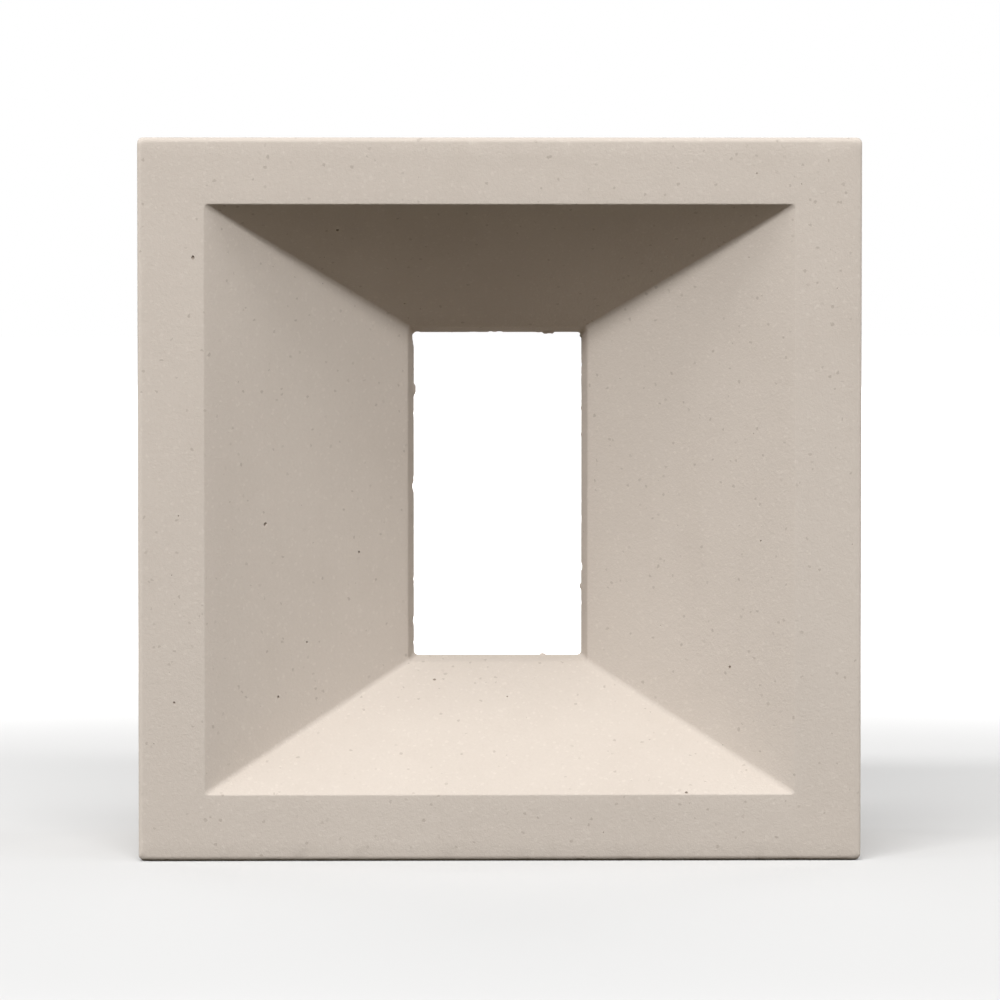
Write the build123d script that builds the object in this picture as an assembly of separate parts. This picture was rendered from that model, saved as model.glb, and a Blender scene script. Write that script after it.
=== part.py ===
"""Hollow partition block: one square cast unit for a screen wall.

A four-sided funnel is sunk into each show face, and the two meet in a tall slot at mid-depth.
The block stands on its lower bed. X runs along the wall, Y through it and Z up, in millimetres.
The origin is the middle of the lower bed, and the front show face looks towards -Y.
"""

from build123d import *
import os

# Outside of the block, laid at 200 mm centres with 10 mm joints
block_width = 190.0
block_height = 190.0
block_depth = 90.0
arris_radius = 1.5

# Flat rim round each mouth, and the small round of its inner edge
rim_width = 17.5
mouth_edge_radius = 1.0

# Throat where each funnel ends, on both sides of the web that is left between them
throat_width = 48.0
throat_height = 90.0
throat_edge_radius = 2.0
web_thickness = 10.0

# Draft of the web's inner walls, from each throat in to the mould's parting line at mid-depth
web_lean = 1.5

# Round of the valleys where two sides of the opening meet
valley_radius = 1.5


def opening_profile(plane, mouth_size, throat_size):
    """The opening's section through the wall: wide at both faces and narrowest at mid-depth.

    The plane's first direction runs across the opening, and its second one through the wall.
    """
    one_side = [
        (mouth_size / 2, -block_depth / 2),
        (throat_size / 2, -web_thickness / 2),
        (throat_size / 2 - web_lean, 0),
        (throat_size / 2, web_thickness / 2),
        (mouth_size / 2, block_depth / 2),
    ]
    other_side = [(-across, through) for across, through in reversed(one_side)]
    profile = make_face(Polyline(*one_side, *other_side, close=True))
    from_middle = profile.vertices().group_by(lambda corner: round(abs(corner.Y), 3))
    at_throats = from_middle[1]
    return plane * fillet(at_throats, throat_edge_radius)


def opening():
    """The space that the mould's two cores leave.

    It is what the section seen from above, carried up through the block, and the section seen
    from the side, carried across it, have in common.
    """
    from_above = Plane.XY
    from_the_side = Plane(
        origin=(0, 0, block_height / 2),
        x_dir=(0, 0, 1),
        z_dir=(1, 0, 0),
    )
    mouth_width = block_width - 2 * rim_width
    mouth_height = block_height - 2 * rim_width
    plan = opening_profile(from_above, mouth_width, throat_width)
    upright = opening_profile(from_the_side, mouth_height, throat_height)
    space = extrude(plan, block_height) & extrude(upright, block_width / 2, both=True)
    return fillet(valleys(space), valley_radius)


def valleys(space):
    """The edges of the opening that run inwards from a corner of a mouth."""

    def slants(edge):
        direction = edge % 0.5
        return min(abs(direction.X), abs(direction.Y), abs(direction.Z)) > 0.05

    return [edge for edge in space.edges() if slants(edge)]


def solid_block():
    """The block before its opening, with a small round along every outside edge."""
    body = Box(
        block_width,
        block_depth,
        block_height,
        align=(Align.CENTER, Align.CENTER, Align.MIN),
    )
    return fillet(body.edges(), arris_radius)


def screen_block():
    """The whole casting, with the inner edge of both rims rounded last."""
    block = solid_block() - opening()
    faces_through_wall = block.faces().sort_by(Axis.Y)
    front, back = faces_through_wall[0], faces_through_wall[-1]
    mouth_edges = front.inner_wires().edges() + back.inner_wires().edges()
    return fillet(mouth_edges, mouth_edge_radius)


os.makedirs("parts", exist_ok=True)
export_step(screen_block(), "parts/screen_block.step")
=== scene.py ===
"""Hollow partition block: the looks of one cast screen-wall unit.

The file is laid out as an add-on and run as a script. Lengths are in metres, in the frame of the
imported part: X along the wall, Y through it, Z up, with the lower bed at Z 0.
"""

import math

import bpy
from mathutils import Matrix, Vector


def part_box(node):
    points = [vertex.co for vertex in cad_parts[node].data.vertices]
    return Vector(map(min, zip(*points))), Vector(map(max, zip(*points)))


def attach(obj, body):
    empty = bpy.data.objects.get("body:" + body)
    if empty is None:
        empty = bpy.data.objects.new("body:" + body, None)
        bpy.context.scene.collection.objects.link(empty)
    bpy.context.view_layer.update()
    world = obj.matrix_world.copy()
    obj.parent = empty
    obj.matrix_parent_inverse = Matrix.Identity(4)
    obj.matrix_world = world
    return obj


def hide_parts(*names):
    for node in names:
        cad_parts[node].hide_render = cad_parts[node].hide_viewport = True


bl_info = {
    "name": "Hollow partition block",
    "version": (1, 0, 0),
    "blender": (4, 5, 0),
    "location": "View3D > Sidebar > Block",
    "description": "Makes a cast screen-wall block with two funnels and a slot, and a plain stage",
    "category": "Object",
}

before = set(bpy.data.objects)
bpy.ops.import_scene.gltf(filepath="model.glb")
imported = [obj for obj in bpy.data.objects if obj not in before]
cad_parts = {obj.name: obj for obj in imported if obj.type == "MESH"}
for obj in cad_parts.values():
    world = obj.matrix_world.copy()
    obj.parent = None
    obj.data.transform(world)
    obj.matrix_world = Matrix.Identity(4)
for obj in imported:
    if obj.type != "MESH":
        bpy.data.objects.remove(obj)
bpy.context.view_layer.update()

# The solid that the cast block takes the place of, and the ends of its box
NODE = "screen_block"
LOW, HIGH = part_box(NODE)

# Names of the values that each point of the block keeps for its relief and its material
ARRIS = "arris"
LIP = "lip"
# How much painted shade each point of a pore or nick gets, from 0 to 1
PAINTED_HOLLOW_SHADE = "pore"

QUARTER_TURN = math.pi / 2
WHITE = (1.0, 1.0, 1.0)


def length(name, description, default):
    """A size in metres that a user can change."""
    return bpy.props.FloatProperty(
        name=name, description=description, default=default, unit="LENGTH", precision=5
    )


def colour(name, description, default):
    """A colour that a user can change, as linear red, green and blue."""
    return bpy.props.FloatVectorProperty(
        name=name, description=description, default=default, subtype="COLOR", min=0, max=1
    )


def number(name, description, default):
    """A plain number that a user can change."""
    return bpy.props.FloatProperty(name=name, description=description, default=default)


def count(name, description, default):
    """A whole number that a user can change."""
    return bpy.props.IntProperty(name=name, description=description, default=default)


class BlockSizes(bpy.types.PropertyGroup):
    """Sizes of the casting, the outer ones from the frame."""

    width: length("Width", "Across the wall, side to side", HIGH.x - LOW.x)
    depth: length("Depth", "Through the wall, face to face", HIGH.y - LOW.y)
    height: length("Height", "Bed to bed", HIGH.z - LOW.z)
    rim: length("Rim", "Flat border round each mouth", 0.0175)
    throat_width: length("Throat width", "Width where a funnel ends", 0.048)
    throat_height: length("Throat height", "Height where a funnel ends", 0.090)
    web: length("Web", "Thickness left between the two funnels", 0.010)
    lean: length("Lean", "How far the web's walls lean in at mid-depth", 0.0015)
    arris: length("Arris", "Round of the outside edges", 0.0015)
    mouth_edge: length("Mouth edge", "Round of the rim's inner edge", 0.0010)
    throat_edge: length("Throat edge", "Round between a funnel and the web", 0.0020)
    parting_edge: length("Parting edge", "Round of the line where the cores meet", 0.0003)
    valley: length("Valley", "Round where two sides of the opening meet", 0.0011)


class CastingRelief(bpy.types.PropertyGroup):
    """How far the cast skin departs from true planes, and how fine its mesh is."""

    columns: count("Columns", "Mesh columns along each of the four sides", 180)
    arc_steps: count("Arc steps", "Mesh steps round each small radius", 6)
    station_step: length("Station step", "Longest mesh step across a flat", 0.005)
    lip_step: length("Lip step", "Longest mesh step across the web's inner walls", 0.0007)
    wave_depth: length("Wave depth", "Depth of the slow unevenness", 0.00012)
    wave_length: length("Wave length", "Spacing of the slow unevenness", 0.050)
    wear_depth: length("Wear depth", "Depth of the wear along the arrises", 0.00030)
    wear_length: length("Wear length", "Spacing of the wear along the arrises", 0.005)
    lip_depth: length("Lip depth", "How far the thin lip in the slot is broken back", 0.0006)
    lip_length: length("Lip length", "Spacing of the breaks and the flash on the lip", 0.007)
    lip_reach: length("Lip reach", "How far from the parting line breaks and flash go", 0.0016)
    flash_height: length("Flash height", "How far bits of flash stand out from the lip", 0.0005)
    pore_spacing: length("Pore spacing", "Least distance between two air pores", 0.007)
    pore_density: number("Pore density", "Air pores in each square metre, before spacing", 700)
    pore_smallest: length("Smallest pore", "Radius of the smallest air pore", 0.00018)
    pore_largest: length("Largest pore", "Radius of the largest air pore", 0.00058)
    chip_spacing: length("Chip spacing", "Least distance between two nicks in the arrises", 0.030)
    chip_density: number("Chip density", "Nicks in each square metre of arris", 6000)
    chip_smallest: length("Smallest chip", "Half the width of the smallest nick", 0.0005)
    chip_largest: length("Largest chip", "Half the width of the largest nick", 0.0014)
    seed: count("Seed", "Fixed seed of everything random", 11)


class ConcreteLook(bpy.types.PropertyGroup):
    """Tones of the fine cast concrete."""

    tone: colour("Tone", "Greige of the cast skin", (0.560, 0.500, 0.445))
    pale: colour("Pale tone", "Laitance and worn arrises", (0.640, 0.580, 0.520))
    deep: colour("Deep tone", "Damp-looking patches", (0.505, 0.445, 0.388))
    # Painted shade inside the air pores and nicks; the same tone also colours the dark sand specks
    pore: colour("Pore tone", "Shade inside the air pores", (0.260, 0.215, 0.175))
    roughness: number("Roughness", "Roughness of the matte skin", 0.9)
    specular: number("Specular", "Strength of the skin's faint reflection", 0.3)


class StageLook(bpy.types.PropertyGroup):
    """Camera, lamps, floor and background."""

    camera_distance: length("Camera distance", "From the front face to the camera", 1.53)
    camera_left: length("Camera left", "Camera's place left of the block's middle", 0.023)
    camera_up: length("Camera up", "Camera's place above the block's middle", 0.060)
    view_width: length("View width", "Width of the picture at the front face", 0.262)
    lamp_distance: length("Lamp distance", "From the block's middle to each lamp", 6.0)
    key_power: number("Key power", "Watts of the wide lamp above the front", 404.0)
    top_power: number("Top power", "Watts of the lamp nearly overhead", 100.0)
    side_power: number("Side power", "Watts of each lamp well round to a side", 64.0)
    beside_power: number("Beside power", "Watts of each low lamp right beside the block", 120.0)
    back_power: number("Back power", "Watts of each low lamp behind the block", 120.0)
    ambient: number("Ambient", "Strength of the light from all round", 0.035)
    ambient_tone: colour("Ambient tone", "Colour of the light from all round", (1.0, 0.84, 0.60))
    floor_near: number("Floor near", "Own brightness of the floor round the block", 0.12)
    floor_reach: length("Floor reach", "Where the floor is as white as the background", 0.9)
    floor_tone: number("Floor tone", "Grey of the floor that takes the shadow", 0.55)
    floor_bounce: colour(
        "Floor bounce", "Floor's colour for the light it throws back", (0.050, 0.038, 0.020)
    )


class NodeSheet:
    """Adds nodes to one tree, linking sockets and setting plain values."""

    def __init__(self, tree):
        self.tree = tree

    def add(self, kind, inputs=None, **settings):
        """One node, with its settings made before its inputs are filled by name."""
        node = self.tree.nodes.new(kind)
        for name, value in settings.items():
            setattr(node, name, value)
        for name, value in (inputs or {}).items():
            self.fill(next(s for s in node.inputs if s.enabled and s.name == name), value)
        return node

    def fill(self, socket, value):
        """Links a socket to another, or gives it a plain value: a colour has three numbers."""
        if isinstance(value, bpy.types.NodeSocket):
            self.tree.links.new(value, socket)
        elif socket.type == "RGBA":
            socket.default_value = (*value, 1.0)
        else:
            socket.default_value = value

    def calc(self, operation, *values):
        """A Math node's result."""
        node = self.tree.nodes.new("ShaderNodeMath")
        node.operation = operation
        for socket, value in zip(node.inputs, values):
            self.fill(socket, value)
        return node.outputs[0]

    def half(self, value):
        """Half of a value."""
        return self.calc("MULTIPLY", value, 0.5)

    def times_in(self, size, whole):
        """How often a size goes into a whole number, which has a half added against rounding."""
        return self.calc("FLOOR", self.calc("DIVIDE", self.calc("ADD", whole, 0.5), size))

    def ramp(self, value, start, end, low=0.0, high=1.0, kind="SMOOTHSTEP"):
        """A value carried from one range to another and held there."""
        return self.add(
            "ShaderNodeMapRange",
            {"Value": value, "From Min": start, "From Max": end, "To Min": low, "To Max": high},
            interpolation_type=kind,
        ).outputs[0]

    def noise(self, place, scale, detail, roughness=0.5, seed=0.0):
        """A noise value from 0 to 1 at a place."""
        return self.add(
            "ShaderNodeTexNoise",
            {
                "Vector": place,
                "W": seed,
                "Scale": scale,
                "Detail": detail,
                "Roughness": roughness,
            },
            noise_dimensions="4D",
        ).outputs[0]

    def blend(self, factor, first, second):
        """One colour at factor 0, carried into another at 1."""
        node = self.add(
            "ShaderNodeMix", {"Factor": factor, "A": first, "B": second}, data_type="RGBA"
        )
        return next(s for s in node.outputs if s.enabled)

    def either(self, factor, first, second):
        """One shader at factor 0, and another at 1."""
        node = self.add("ShaderNodeMixShader", {"Fac": factor})
        self.fill(node.inputs[1], first)
        self.fill(node.inputs[2], second)
        return node.outputs[0]

    def end_in(self, kind, shader):
        """Ends the tree in an output node."""
        self.add(kind, {"Surface": shader})


class GeometrySheet(NodeSheet):
    """A Geometry Nodes tree with named inputs."""

    def __init__(self, name):
        super().__init__(bpy.data.node_groups.new(name, "GeometryNodeTree"))
        self.tree.interface.new_socket(
            "Geometry", in_out="OUTPUT", socket_type="NodeSocketGeometry"
        )
        self.given = {}
        self.entry = self.tree.nodes.new("NodeGroupInput")

    def input(self, name, value, kind):
        """A named input of the tree, remembered with the value that its modifier gets."""
        item = self.tree.interface.new_socket(
            name, in_out="INPUT", socket_type="NodeSocket" + kind
        )
        self.given[item.identifier] = value
        return next(s for s in self.entry.outputs if s.identifier == item.identifier)

    def inputs_from(self, group, names, kind="Float"):
        """One named input for each property of a group."""
        labels = group.bl_rna.properties
        return {name: self.input(labels[name].name, getattr(group, name), kind) for name in names}

    def position(self):
        """Where each point is."""
        return self.add("GeometryNodeInputPosition").outputs[0]

    def index(self):
        """The number of each point, from 0."""
        return self.add("GeometryNodeInputIndex").outputs[0]

    def pick(self, kind, values):
        """The value at each point's own index."""
        node = self.tree.nodes.new("GeometryNodeIndexSwitch")
        node.data_type = kind
        while len(node.index_switch_items) < len(values):
            node.index_switch_items.new()
        self.fill(node.inputs[0], self.index())
        for socket, value in zip(node.inputs[1:], values):
            self.fill(socket, value)
        return node.outputs[0]

    def point(self, x, y, z=0.0):
        """A position from three values."""
        return self.add("ShaderNodeCombineXYZ", {"X": x, "Y": y, "Z": z}).outputs[0]

    def scaled(self, vector, factor):
        """A vector made longer or shorter."""
        return self.add(
            "ShaderNodeVectorMath", {"Vector": vector, "Scale": factor}, operation="SCALE"
        ).outputs[0]

    def store(self, mesh, name, value):
        """The mesh with a value of each point kept under a name."""
        return self.add(
            "GeometryNodeStoreNamedAttribute",
            {"Geometry": mesh, "Name": name, "Value": value},
            data_type="FLOAT",
            domain="POINT",
        ).outputs[0]

    def kept(self, name):
        """The value that each point keeps under a name."""
        return self.add(
            "GeometryNodeInputNamedAttribute", {"Name": name}, data_type="FLOAT"
        ).outputs[0]

    def finish(self, geometry):
        """Ends the tree in its output."""
        output = self.tree.nodes.new("NodeGroupOutput")
        self.tree.links.new(geometry, output.inputs[0])


def half_widths(sheet, size):
    """Half the width of the block, of a mouth, of a throat, and of the slot at mid-depth."""
    side = sheet.half(size["width"])
    mouth = sheet.calc("SUBTRACT", side, size["rim"])
    throat = sheet.half(size["throat_width"])
    waist = sheet.calc("SUBTRACT", throat, size["lean"])
    return side, mouth, throat, waist


def ring_section(sheet, size, relief, steps):
    """The block's section as a closed curve: X is half its width there, Y is through the wall."""
    side, mouth, throat, waist = half_widths(sheet, size)
    face = sheet.half(size["depth"])
    web = sheet.half(size["web"])
    front_face = sheet.calc("MULTIPLY", face, -1.0)
    front_web = sheet.calc("MULTIPLY", web, -1.0)
    corners = [
        (side, front_face, size["arris"]),
        (mouth, front_face, size["mouth_edge"]),
        (throat, front_web, size["throat_edge"]),
        (waist, 0.0, size["parting_edge"]),
        (throat, web, size["throat_edge"]),
        (mouth, face, size["mouth_edge"]),
        (side, face, size["arris"]),
    ]
    places = sheet.pick("VECTOR", [sheet.point(x, y) for x, y, _ in corners])
    points = sheet.add("GeometryNodePoints", {"Count": len(corners), "Position": places})
    line = sheet.add("GeometryNodePointsToCurves", {"Points": points.outputs[0]})
    loop = sheet.add("GeometryNodeSetSplineCyclic", {"Geometry": line.outputs[0], "Cyclic": True})
    radius = sheet.pick("FLOAT", [radius for _, _, radius in corners])
    rounded = sheet.add(
        "GeometryNodeFilletCurve",
        {"Curve": loop.outputs[0], "Count": steps, "Radius": radius, "Limit Radius": True},
        mode="POLY",
    ).outputs[0]
    cuts = cuts_to_next(sheet, rounded, longest_step(sheet, web, relief))
    return sheet.add("GeometryNodeSubdivideCurve", {"Curve": rounded, "Cuts": cuts}).outputs[0]


def longest_step(sheet, web, relief):
    """The longest mesh step from a point of the section on: short on the web's inner walls."""
    through = sheet.add("ShaderNodeSeparateXYZ", {"Vector": sheet.position()}).outputs["Y"]
    return sheet.add(
        "GeometryNodeSwitch",
        {
            "Switch": sheet.calc("LESS_THAN", sheet.calc("ABSOLUTE", through), web),
            "False": relief["station_step"],
            "True": relief["lip_step"],
        },
        input_type="FLOAT",
    ).outputs[0]


def point_count(sheet, curve):
    """How many points a curve has."""
    return sheet.add(
        "GeometryNodeAttributeDomainSize", {"Geometry": curve}, component="CURVE"
    ).outputs["Point Count"]


def cuts_to_next(sheet, curve, longest):
    """How many cuts keep the steps from a point to the next one short."""
    here = sheet.position()
    following = sheet.calc("ADD", sheet.index(), 1.0)
    there = sheet.add(
        "GeometryNodeFieldAtIndex",
        {"Value": here, "Index": sheet.calc("MODULO", following, point_count(sheet, curve))},
        data_type="FLOAT_VECTOR",
        domain="POINT",
    ).outputs[0]
    gap = sheet.add("ShaderNodeVectorMath", {"Vector": here}, operation="DISTANCE")
    sheet.fill(gap.inputs[1], there)
    return sheet.calc("FLOOR", sheet.calc("DIVIDE", gap.outputs["Value"], longest))


def half_height(sheet, size, half_width, mouth_x, throat_x):
    """Half of a loop's height from half of its width: funnels in proportion, rims and web alike."""
    mouth_z = sheet.calc("SUBTRACT", sheet.half(size["height"]), size["rim"])
    throat_z = sheet.half(size["throat_height"])
    funnel = sheet.ramp(half_width, throat_x, mouth_x, throat_z, mouth_z, "LINEAR")
    outside = sheet.calc("MAXIMUM", sheet.calc("SUBTRACT", half_width, mouth_x), 0.0)
    inside = sheet.calc("MINIMUM", sheet.calc("SUBTRACT", half_width, throat_x), 0.0)
    return sheet.calc("ADD", funnel, sheet.calc("ADD", outside, inside))


def loop_place(sheet, column, columns, steps):
    """Where a mesh column meets a rounded square loop.

    Gives the point on the sharp square from -1 to 1, and the direction of its rounding, both as
    an X and a Z value.
    """
    per_side = sheet.calc("ADD", columns, steps)
    side = sheet.times_in(per_side, column)
    on_side = sheet.calc("SUBTRACT", column, sheet.calc("MULTIPLY", side, per_side))
    along = sheet.calc("MINIMUM", sheet.calc("DIVIDE", on_side, columns), 1.0)
    on_arc = sheet.calc("MAXIMUM", sheet.calc("SUBTRACT", on_side, columns), 0.0)
    turn = sheet.calc("ADD", side, sheet.calc("DIVIDE", on_arc, steps))
    facing = sheet.calc("MULTIPLY", side, QUARTER_TURN)
    rounding = sheet.calc("MULTIPLY", turn, QUARTER_TURN)
    out_x = sheet.calc("COSINE", facing)
    out_z = sheet.calc("SINE", facing)
    shift = sheet.calc("MULTIPLY_ADD", along, 2.0, -1.0)
    square_x = sheet.calc("SUBTRACT", out_x, sheet.calc("MULTIPLY", out_z, shift))
    square_z = sheet.calc("ADD", out_z, sheet.calc("MULTIPLY", out_x, shift))
    return square_x, square_z, sheet.calc("COSINE", rounding), sheet.calc("SINE", rounding)


def station_grid(sheet, section, columns, steps):
    """A flat grid to wrap into the ring, one row of points for each point of the section.

    Gives the grid, and for each of its points the mesh column and the section's point there. Its
    last row and column lie on the first ones once it is wrapped, and are merged with them then.
    """
    sides = 4.0
    stations = point_count(sheet, section)
    around = sheet.calc("MULTIPLY", sheet.calc("ADD", columns, steps), sides)
    rows = sheet.calc("ADD", stations, 1.0)
    grid = sheet.add(
        "GeometryNodeMeshGrid", {"Vertices X": sheet.calc("ADD", around, 1.0), "Vertices Y": rows}
    ).outputs[0]
    index = sheet.index()
    grid_column = sheet.times_in(rows, index)
    row = sheet.calc("SUBTRACT", index, sheet.calc("MULTIPLY", grid_column, rows))
    station = sheet.add(
        "GeometryNodeSampleIndex",
        {
            "Geometry": section,
            "Value": sheet.position(),
            "Index": sheet.calc("MODULO", row, stations),
        },
        data_type="FLOAT_VECTOR",
        domain="POINT",
    ).outputs[0]
    return grid, sheet.calc("MODULO", grid_column, around), station


def lofted_ring(sheet, size, relief, columns, steps):
    """The block's skin: a closed section carried round through rectangles of changing size."""
    section = ring_section(sheet, size, relief, steps)
    grid, column, station = station_grid(sheet, section, columns, steps)
    on_section = sheet.add("ShaderNodeSeparateXYZ", {"Vector": station}).outputs
    half_width, through = on_section["X"], on_section["Y"]
    side, mouth, throat, _ = half_widths(sheet, size)
    tall = half_height(sheet, size, half_width, mouth, throat)
    corner = sheet.ramp(half_width, mouth, side, size["valley"], size["arris"], "LINEAR")
    straight_x = sheet.calc("SUBTRACT", half_width, corner)
    straight_z = sheet.calc("SUBTRACT", tall, corner)
    square_x, square_z, round_x, round_z = loop_place(sheet, column, columns, steps)
    x = sheet.calc("MULTIPLY_ADD", square_x, straight_x, sheet.calc("MULTIPLY", round_x, corner))
    z = sheet.calc("MULTIPLY_ADD", square_z, straight_z, sheet.calc("MULTIPLY", round_z, corner))
    off_line = sheet.calc("ABSOLUTE", through)
    near_line = sheet.ramp(off_line, 0.0, relief["lip_reach"], 1.0, 0.0)
    in_slot = sheet.calc("LESS_THAN", half_width, throat)
    marked = sheet.store(grid, LIP, sheet.calc("MULTIPLY", near_line, in_slot))
    height = sheet.calc("ADD", z, sheet.half(size["height"]))
    placed = sheet.add(
        "GeometryNodeSetPosition", {"Geometry": marked, "Position": sheet.point(x, through, height)}
    ).outputs[0]
    seam = 1e-6
    return sheet.add(
        "GeometryNodeMergeByDistance", {"Geometry": placed, "Distance": seam}
    ).outputs[0]


def mark_arrises(sheet, mesh):
    """Keeps how much each point lies on an outward edge, from 0 on flats to 1 on arrises."""
    flat_turn = math.radians(3)
    edge_turn = math.radians(12)
    bend = sheet.add("GeometryNodeInputMeshEdgeAngle").outputs["Signed Angle"]
    return sheet.store(mesh, ARRIS, sheet.ramp(bend, flat_turn, edge_turn))


def cast_relief(sheet, mesh, relief, seed):
    """Sinks the skin a little: uneven flats, worn arrises, a broken lip. Only its flash rises."""
    worn_from, worn_to = 0.50, 0.78
    broken_from, broken_to = 0.57, 0.72
    flash_from, flash_to = 0.40, 0.32
    place = sheet.position()

    def pattern(spacing, detail, roughness):
        """Noise of a given spacing."""
        scale = sheet.calc("DIVIDE", 1.0, relief[spacing])
        return sheet.noise(place, scale, detail, roughness, seed)

    wave = pattern("wave_length", 3.0, 0.45)
    rough = sheet.ramp(pattern("wear_length", 4.0, 0.6), worn_from, worn_to)
    ragged = pattern("lip_length", 3.0, 0.6)
    worn = sheet.calc("MULTIPLY", rough, sheet.kept(ARRIS))
    broken = sheet.calc("MULTIPLY", sheet.ramp(ragged, broken_from, broken_to), sheet.kept(LIP))
    flash = sheet.calc("MULTIPLY", sheet.ramp(ragged, flash_from, flash_to), sheet.kept(LIP))
    depth = sheet.calc("MULTIPLY", wave, relief["wave_depth"])
    depth = sheet.calc("MULTIPLY_ADD", worn, relief["wear_depth"], depth)
    depth = sheet.calc("MULTIPLY_ADD", broken, relief["lip_depth"], depth)
    depth = sheet.calc("SUBTRACT", depth, sheet.calc("MULTIPLY", flash, relief["flash_height"]))
    outward = sheet.add("GeometryNodeInputNormal").outputs[0]
    inward = sheet.scaled(outward, sheet.calc("MULTIPLY", depth, -1.0))
    return sheet.add("GeometryNodeSetPosition", {"Geometry": mesh, "Offset": inward}).outputs[0]


def lump(sheet, unevenness):
    """A ball of radius 1, or an uneven lump where the unevenness is above 0."""
    swell_scale = 1.3
    ball = sheet.add("GeometryNodeMeshIcoSphere", {"Radius": 1.0, "Subdivisions": 2})
    place = sheet.position()
    swell = sheet.calc("SUBTRACT", sheet.noise(place, swell_scale, detail=1.0), 0.5)
    size = sheet.calc("MULTIPLY_ADD", swell, 2.0 * unevenness, 1.0)
    return sheet.add(
        "GeometryNodeSetPosition",
        {"Geometry": ball.outputs[0], "Position": sheet.scaled(place, size)},
    ).outputs[0]


def scattered(sheet, mesh, shape, relief, kind, seed, shade, share=1.0):
    """Copies of a shape on the skin, of random size, turn and flatness, to be cut away.

    Each copy carries how much painted shade its hollow gets. The share, from 0 to 1, thins them out
    by place.
    """
    full_turn = (math.tau, math.tau, math.tau)
    flattest, fullest = (0.75, 0.75, 0.6), (1.2, 1.0, 0.9)
    rarity_of_large = 3.0
    spread = sheet.add(
        "GeometryNodeDistributePointsOnFaces",
        {
            "Mesh": mesh,
            "Distance Min": relief[kind + "_spacing"],
            "Density Max": relief[kind + "_density"],
            "Density Factor": share,
            "Seed": seed,
        },
        distribute_method="POISSON",
    )

    def chance(low, high, data_type="FLOAT_VECTOR"):
        """A random value for each copy."""
        return sheet.add(
            "FunctionNodeRandomValue", {"Min": low, "Max": high, "Seed": seed}, data_type=data_type
        ).outputs["Value"]

    largeness = sheet.calc("POWER", chance(0.0, 1.0, "FLOAT"), rarity_of_large)
    radius = sheet.ramp(
        largeness, 0.0, 1.0, relief[kind + "_smallest"], relief[kind + "_largest"], "LINEAR"
    )
    copies = sheet.add(
        "GeometryNodeInstanceOnPoints",
        {
            "Points": spread.outputs["Points"],
            "Instance": sheet.store(shape, PAINTED_HOLLOW_SHADE, shade),
            "Rotation": chance((0.0, 0.0, 0.0), full_turn),
            "Scale": sheet.scaled(chance(flattest, fullest), radius),
        },
    )
    return sheet.add("GeometryNodeRealizeInstances", {"Geometry": copies.outputs[0]}).outputs[0]


def cut_away(sheet, mesh, tools):
    """The mesh less every tool."""
    holed = sheet.add(
        "GeometryNodeMeshBoolean", {"Mesh 1": mesh}, operation="DIFFERENCE", solver="MANIFOLD"
    )
    for tool in tools:
        sheet.fill(holed.inputs["Mesh 2"], tool)
    return holed.outputs["Mesh"]


def smoothed(sheet, mesh):
    """The mesh shaded smooth, but crisp round the edge of each pore and nick."""
    crisp_turn = math.radians(45)
    bend = sheet.add("GeometryNodeInputMeshEdgeAngle").outputs["Unsigned Angle"]
    smooth = sheet.add(
        "GeometryNodeSetShadeSmooth", {"Geometry": mesh, "Shade Smooth": True}, domain="FACE"
    )
    return sheet.add(
        "GeometryNodeSetShadeSmooth",
        {
            "Geometry": smooth.outputs[0],
            "Selection": sheet.calc("GREATER_THAN", bend, crisp_turn),
            "Shade Smooth": False,
        },
        domain="EDGE",
    ).outputs[0]


def block_tree(sizes, relief_sizes, material):
    """The Geometry Nodes tree that makes the whole block."""
    well_on_arris = 0.6
    # How much painted shade the hollow of a pore and of a nick gets
    pore_shade, chip_shade = 1.0, 0.15
    even, gritty = 0.0, 0.6
    whole_names = ["columns", "arc_steps", "seed"]
    measured = [name for name in CastingRelief.__annotations__ if name not in whole_names]
    sheet = GeometrySheet("Cast screen block")
    size = sheet.inputs_from(sizes, BlockSizes.__annotations__)
    relief = sheet.inputs_from(relief_sizes, measured)
    whole = sheet.inputs_from(relief_sizes, whole_names, "Int")
    finish = sheet.input("Material", material, "Material")
    ring = lofted_ring(sheet, size, relief, whole["columns"], whole["arc_steps"])
    skin = cast_relief(sheet, mark_arrises(sheet, ring), relief, whole["seed"])
    arris_only = sheet.calc("GREATER_THAN", sheet.kept(ARRIS), well_on_arris)
    other_seed = sheet.calc("ADD", whole["seed"], 1.0)
    bubble, grit = lump(sheet, even), lump(sheet, gritty)
    pores = scattered(sheet, skin, bubble, relief, "pore", whole["seed"], pore_shade)
    chips = scattered(sheet, skin, grit, relief, "chip", other_seed, chip_shade, arris_only)
    holed = cut_away(sheet, skin, [pores, chips])
    real = sheet.add("GeometryNodeRealizeInstances", {"Geometry": smoothed(sheet, holed)})
    dressed = sheet.add(
        "GeometryNodeSetMaterial", {"Geometry": real.outputs[0], "Material": finish}
    )
    sheet.finish(dressed.outputs[0])
    return sheet


def plain_mesh(name, sheet):
    """The mesh that a Geometry Nodes tree makes, as an object of its own at the origin."""
    carrier = bpy.data.objects.new(name + "_carrier", bpy.data.meshes.new(name + "_carrier"))
    bpy.context.scene.collection.objects.link(carrier)
    modifier = carrier.modifiers.new(name, "NODES")
    modifier.node_group = sheet.tree
    for identifier, value in sheet.given.items():
        modifier[identifier] = value
    carrier.update_tag()
    evaluated = carrier.evaluated_get(bpy.context.evaluated_depsgraph_get())
    mesh = bpy.data.meshes.new_from_object(evaluated)
    mesh.name = name
    bpy.data.objects.remove(carrier)
    piece = bpy.data.objects.new(name, mesh)
    bpy.context.scene.collection.objects.link(piece)
    return piece


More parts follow.
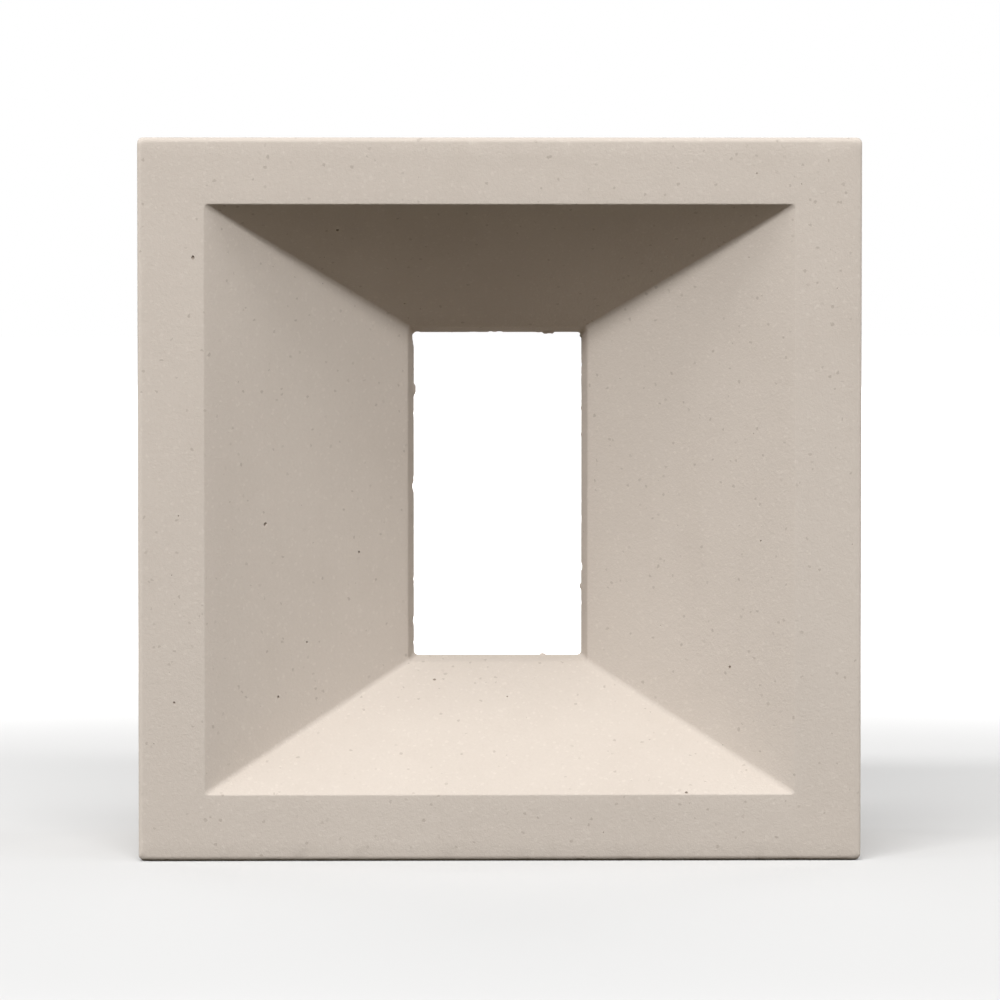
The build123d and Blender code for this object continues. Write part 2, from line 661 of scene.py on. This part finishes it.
def check_skin(piece):
    """Raises an error unless the piece is closed, faces outwards and stays inside the CAD node."""
    mesh = piece.data
    sixfold_volume = 0.0
    edge_uses = {}
    for polygon in mesh.polygons:
        corners = [mesh.vertices[i].co for i in polygon.vertices]
        for second, third in zip(corners[1:], corners[2:]):
            sixfold_volume += corners[0].dot(second.cross(third))
        for key in polygon.edge_keys:
            edge_uses[key] = edge_uses.get(key, 0) + 1
    if any(uses != 2 for uses in edge_uses.values()):
        raise RuntimeError("the block's skin isn't closed")
    if sixfold_volume <= 0:
        raise RuntimeError("the block's skin faces inwards")
    slack = 1e-5
    for axis in range(3):
        places = [vertex.co[axis] for vertex in mesh.vertices]
        if min(places) < LOW[axis] - slack or max(places) > HIGH[axis] + slack:
            raise RuntimeError("the block's skin leaves the CAD box")


def emptied(owner):
    """The node sheet of a material or a world, with nothing on it."""
    owner.use_nodes = True
    owner.node_tree.nodes.clear()
    return NodeSheet(owner.node_tree)


def concrete(look):
    """Fine cast concrete: matte, softly mottled, with sand grain and pale arrises, and pores and
    nicks darkened with painted shade.
    """
    # Repeats of each pattern in a metre
    cloud_scale = 16.0
    patch_scale = 48.0
    streak_scale = 130.0
    ripple_scale = 260.0
    grain_scale = 1300.0
    sand_scale = 1500.0
    streak_stretch = (1.0, 1.0, 0.12)

    material = bpy.data.materials.new("fine_cast_concrete")
    sheet = emptied(material)
    place = sheet.add("ShaderNodeTexCoord").outputs["Object"]
    upright = sheet.add("ShaderNodeMapping", {"Vector": place, "Scale": streak_stretch}).outputs[0]
    clouds = sheet.noise(place, cloud_scale, detail=4.0, roughness=0.55, seed=1.0)
    patches = sheet.noise(place, patch_scale, detail=5.0, roughness=0.6, seed=2.0)
    streaks = sheet.noise(upright, streak_scale, detail=3.0, roughness=0.6, seed=3.0)
    grain = sheet.noise(place, grain_scale, detail=3.0, roughness=0.7, seed=4.0)
    ripples = sheet.noise(place, ripple_scale, detail=3.0, roughness=0.5, seed=5.0)
    sand = sheet.add(
        "ShaderNodeTexVoronoi", {"Vector": place, "Scale": sand_scale, "Randomness": 1.0}
    )
    specks = sheet.add("ShaderNodeSeparateColor", {"Color": sand.outputs["Color"]}).outputs[0]
    arris = sheet.add("ShaderNodeAttribute", attribute_name=ARRIS).outputs["Fac"]
    # How much painted shade each point of a pore or nick takes
    pore = sheet.add("ShaderNodeAttribute", attribute_name=PAINTED_HOLLOW_SHADE).outputs["Fac"]

    # Each layer's pattern, where it begins and where it is full, its strength and its tone
    layers = [
        (clouds, 0.38, 0.66, 0.18, look.pale),
        (patches, 0.50, 0.75, 0.22, look.deep),
        (streaks, 0.50, 0.75, 0.15, look.deep),
        (grain, 0.50, 0.72, 0.30, look.pale),
        (grain, 0.48, 0.28, 0.30, look.deep),
        (specks, 0.990, 0.998, 0.35, look.pore),
        (specks, 0.060, 0.020, 0.40, look.pale),
    ]
    skin = look.tone
    for pattern, begins, full, strength, tone in layers:
        skin = sheet.blend(sheet.ramp(pattern, begins, full, 0.0, strength), skin, tone)
    arris_strength, arris_falloff, painted_pore_shade = 0.45, 2.0, 0.75
    on_arris = sheet.calc("MULTIPLY", sheet.calc("POWER", arris, arris_falloff), arris_strength)
    skin = sheet.blend(on_arris, skin, look.pale)
    # Painted shade in the pores and nicks, in the pore tone
    skin = sheet.blend(sheet.calc("MULTIPLY", pore, painted_pore_shade), skin, look.pore)

    ripple_share, grain_share = 0.35, 0.5
    fine = sheet.calc("MULTIPLY", grain, grain_share)
    height = sheet.calc("MULTIPLY_ADD", ripples, ripple_share, fine)
    bump = sheet.add(
        "ShaderNodeBump", {"Strength": 0.35, "Distance": 0.0006, "Height": height}
    ).outputs[0]
    low_grain, high_grain, spread = 0.3, 0.7, 0.05
    least, most = look.roughness - spread, look.roughness + spread
    roughness = sheet.ramp(grain, low_grain, high_grain, least, most)
    shader = sheet.add(
        "ShaderNodeBsdfPrincipled",
        {
            "Base Color": skin,
            "Roughness": roughness,
            "Specular IOR Level": look.specular,
            "Normal": bump,
        },
    )
    sheet.end_in("ShaderNodeOutputMaterial", shader.outputs[0])
    return material


class OBJECT_OT_cast_screen_block(bpy.types.Operator):
    """Make the cast block: skin, worn arrises, air pores and concrete"""

    bl_idname = "object.cast_screen_block"
    bl_label = "Cast screen block"

    def execute(self, context):
        scene = context.scene
        material = concrete(scene.concrete_look)
        sheet = block_tree(scene.block_sizes, scene.casting_relief, material)
        piece = plain_mesh("cast_block", sheet)
        check_skin(piece)
        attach(piece, "root")
        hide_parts(NODE)
        return {"FINISHED"}


def seen_directly(sheet):
    """1 where the camera looks, straight, mirrored or through glass, and 0 for bounced light."""
    rays = sheet.add("ShaderNodeLightPath").outputs
    mirrored = sheet.calc("MAXIMUM", rays["Is Glossy Ray"], rays["Is Transmission Ray"])
    return sheet.calc("MAXIMUM", rays["Is Camera Ray"], mirrored)


def floor_material(look):
    """Pale floor that keeps a soft shadow and throws little light back up."""
    material = bpy.data.materials.new("pale_floor")
    sheet = emptied(material)
    grey = (look.floor_tone,) * 3
    thrown = sheet.add("ShaderNodeBsdfDiffuse", {"Color": look.floor_bounce}).outputs[0]
    shaded = sheet.add("ShaderNodeBsdfDiffuse", {"Color": grey}).outputs[0]
    place = sheet.add("ShaderNodeTexCoord").outputs["Object"]
    away = sheet.add("ShaderNodeVectorMath", {"Vector": place}, operation="LENGTH").outputs["Value"]
    still_grey = look.floor_reach / 3
    whiteness = sheet.ramp(away, still_grey, look.floor_reach, look.floor_near, 1.0)
    glow = sheet.add("ShaderNodeEmission", {"Color": WHITE, "Strength": whiteness}).outputs[0]
    seen = sheet.add("ShaderNodeAddShader")
    sheet.fill(seen.inputs[0], shaded)
    sheet.fill(seen.inputs[1], glow)
    surface = sheet.either(seen_directly(sheet), thrown, seen.outputs[0])
    sheet.end_in("ShaderNodeOutputMaterial", surface)
    return material


def white_world(look):
    """White to the camera, and a faint even light for the rest."""
    world = bpy.data.worlds.new("studio")
    sheet = emptied(world)
    ambient = sheet.add(
        "ShaderNodeBackground", {"Color": look.ambient_tone, "Strength": look.ambient}
    )
    white = sheet.add("ShaderNodeBackground", {"Color": WHITE, "Strength": 1.0})
    surface = sheet.either(seen_directly(sheet), ambient.outputs[0], white.outputs[0])
    sheet.end_in("ShaderNodeOutputWorld", surface)
    bpy.context.scene.world = world


def floor_slab(look):
    """A large flat floor under the block."""
    reach = 12.0
    corners = [(-reach, -reach, 0), (reach, -reach, 0), (reach, reach, 0), (-reach, reach, 0)]
    mesh = bpy.data.meshes.new("floor")
    mesh.from_pydata(corners, [], [(0, 1, 2, 3)])
    mesh.materials.append(floor_material(look))
    floor = bpy.data.objects.new("floor", mesh)
    bpy.context.scene.collection.objects.link(floor)


def put_up(name, data, place, target):
    """A lamp or a camera at a place, turned towards a point."""
    holder = bpy.data.objects.new(name, data)
    holder.location = place
    holder.rotation_euler = (target - place).to_track_quat("-Z", "Y").to_euler()
    bpy.context.scene.collection.objects.link(holder)
    return holder


def place_round(target, distance, azimuth, elevation):
    """A place round a point: azimuth 0 is in front, positive to the right, in degrees."""
    turn, rise = math.radians(azimuth), math.radians(elevation)
    flat = distance * math.cos(rise)
    up = distance * math.sin(rise)
    return target + Vector((flat * math.sin(turn), -flat * math.cos(turn), up))


def soft_lamps(look, middle):
    """Large soft lamps round the block: one in front, one overhead, and three pairs."""
    # Name, azimuth and elevation in degrees, width and height in metres, and power in watts
    lamps = [
        ("key", -9, 40, 5.0, 0.8, look.key_power),
        ("top", 0, 72, 5.0, 2.0, look.top_power),
        ("left", -72, 28, 2.5, 2.0, look.side_power),
        ("right", 72, 28, 2.5, 2.0, look.side_power),
        ("beside_left", -100, 14, 2.5, 2.4, look.beside_power),
        ("beside_right", 100, 14, 2.5, 2.4, look.beside_power),
        ("back_left", -160, 12, 3.0, 2.4, look.back_power),
        ("back_right", 160, 12, 3.0, 2.4, look.back_power),
    ]
    for name, azimuth, elevation, width, height, power in lamps:
        lamp = bpy.data.lights.new(name, "AREA")
        lamp.shape = "RECTANGLE"
        lamp.size = width
        lamp.size_y = height
        lamp.energy = power
        put_up(name, lamp, place_round(middle, look.lamp_distance, azimuth, elevation), middle)


def square_on_camera(look, middle):
    """The photograph's near square-on view, from a little above and left of the block's middle."""
    camera = bpy.data.cameras.new("camera")
    camera.lens = camera.sensor_width * look.camera_distance / look.view_width
    camera.clip_start = 0.01
    camera.clip_end = 60.0
    front = Vector((middle.x, LOW.y, middle.z))
    place = front + Vector((-look.camera_left, -look.camera_distance, look.camera_up))
    bpy.context.scene.camera = put_up("camera", camera, place, front)


class OBJECT_OT_set_block_stage(bpy.types.Operator):
    """Set the floor, background, lamps and camera round the block"""

    bl_idname = "object.set_block_stage"
    bl_label = "Set block stage"

    def execute(self, context):
        look = context.scene.stage_look
        middle = (LOW + HIGH) / 2
        floor_slab(look)
        white_world(look)
        soft_lamps(look, middle)
        square_on_camera(look, middle)
        context.scene.view_settings.view_transform = "Standard"
        return {"FINISHED"}


class VIEW3D_PT_screen_block(bpy.types.Panel):
    """Lists the block's settings and its two steps"""

    bl_label = "Screen block"
    bl_space_type = "VIEW_3D"
    bl_region_type = "UI"
    bl_category = "Block"

    def draw(self, context):
        for group_names, operator in STEPS:
            column = self.layout.column()
            for name in group_names:
                group = getattr(context.scene, name)
                for key in type(group).__annotations__:
                    column.prop(group, key)
            column.operator(operator)


GROUPS = {
    "block_sizes": BlockSizes,
    "casting_relief": CastingRelief,
    "concrete_look": ConcreteLook,
    "stage_look": StageLook,
}

# The settings of each step, and the operator that takes it
STEPS = [
    (("block_sizes", "casting_relief", "concrete_look"), "object.cast_screen_block"),
    (("stage_look",), "object.set_block_stage"),
]
CLASSES = [
    *GROUPS.values(),
    OBJECT_OT_cast_screen_block,
    OBJECT_OT_set_block_stage,
    VIEW3D_PT_screen_block,
]


def register():
    """Registers the classes and gives the scene its settings."""
    for cls in CLASSES:
        bpy.utils.register_class(cls)
    for name, group in GROUPS.items():
        setattr(bpy.types.Scene, name, bpy.props.PointerProperty(type=group))


def unregister():
    """Takes back what register did."""
    for name in GROUPS:
        delattr(bpy.types.Scene, name)
    for cls in reversed(CLASSES):
        bpy.utils.unregister_class(cls)


def main():
    register()
    bpy.ops.object.cast_screen_block()
    bpy.ops.object.set_block_stage()


if __name__ == "__main__":
    main()
